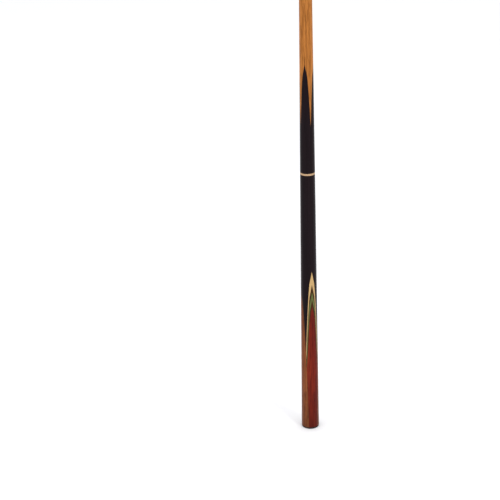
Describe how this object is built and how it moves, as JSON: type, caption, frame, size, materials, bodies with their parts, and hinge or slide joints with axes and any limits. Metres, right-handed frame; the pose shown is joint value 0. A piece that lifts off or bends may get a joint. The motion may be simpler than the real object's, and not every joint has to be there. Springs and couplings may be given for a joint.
{
  "type": "pool cue",
  "caption": "Jointed pool cue: tapered ash shaft with ebony points, brass screw joint and a butt with red, brown and green-lined splices.",
  "frame": {"origin": "centre of the rubber bumper's lower face, at the butt end", "axes": "+Z along the cue from butt to tip; -Y is the side with the front splice"},
  "size_m": [0.029, 0.029, 1.448],
  "materials": {
    "ash": "clear satin varnish over open straight and chevron grain",
    "ebony": "near-black, polished and varnished",
    "padauk": "deep red-orange, varnished",
    "bubinga": "brown-red with dark flecks, varnished",
    "maple": "pale veneer, varnished",
    "green_veneer": "dyed olive veneer, varnished",
    "black_veneer": "dyed dark veneer, varnished",
    "polished_brass": "polished, with light handling wear",
    "brass": "turned, with fine tool lines",
    "leather": "pressed leather, chalked and domed",
    "rubber": "matt black",
    "steel": "zinc-plated",
    "lead": "dull grey casting"
  },
  "bodies": {
    "butt": {"joint_pin": "brass", "butt_ring": "polished_brass", "butt_core": "ash", "butt_ebony_front": "ebony", "butt_ebony_right": "ebony", "butt_ebony_back": "ebony", "butt_ebony_left": "ebony", "front_splice_maple": "maple", "front_splice_inner_black": "black_veneer", "front_splice_green": "green_veneer", "front_splice_black": "black_veneer", "front_splice_padauk": "padauk", "back_splice_maple": "maple", "back_splice_inner_black": "black_veneer", "back_splice_green": "green_veneer", "back_splice_black": "black_veneer", "back_splice_padauk": "padauk", "left_splice_black": "black_veneer", "left_splice_bubinga": "bubinga", "right_splice_black": "black_veneer", "right_splice_bubinga": "bubinga", "lead_weight": "lead", "butt_plug": "ash", "bumper": "rubber", "bumper_screw": "steel"},
    "collar": {"shaft_ring": "polished_brass"},
    "shaft": {"tip": "leather", "ferrule": "brass", "shaft": "ash", "shaft_point_front": "ebony", "shaft_point_right": "ebony", "shaft_point_back": "ebony", "shaft_point_left": "ebony", "joint_socket": "brass"}
  },
  "joints": [
    {"name": "shaft_lift", "type": "slide", "parent": "butt", "child": "collar", "axis": [0, 0, 1], "range_m": [0, 0.0195]},
    {"name": "shaft_turn", "type": "hinge", "parent": "collar", "child": "shaft", "pos_m": [0, 0, 0.4495], "axis": [0, 0, 1], "range_deg": [0, 3510]}
  ],
  "couplings": [
    {"joint": "shaft_turn", "follows": "shaft_lift", "rad_per_m": 3141.6}
  ]
}
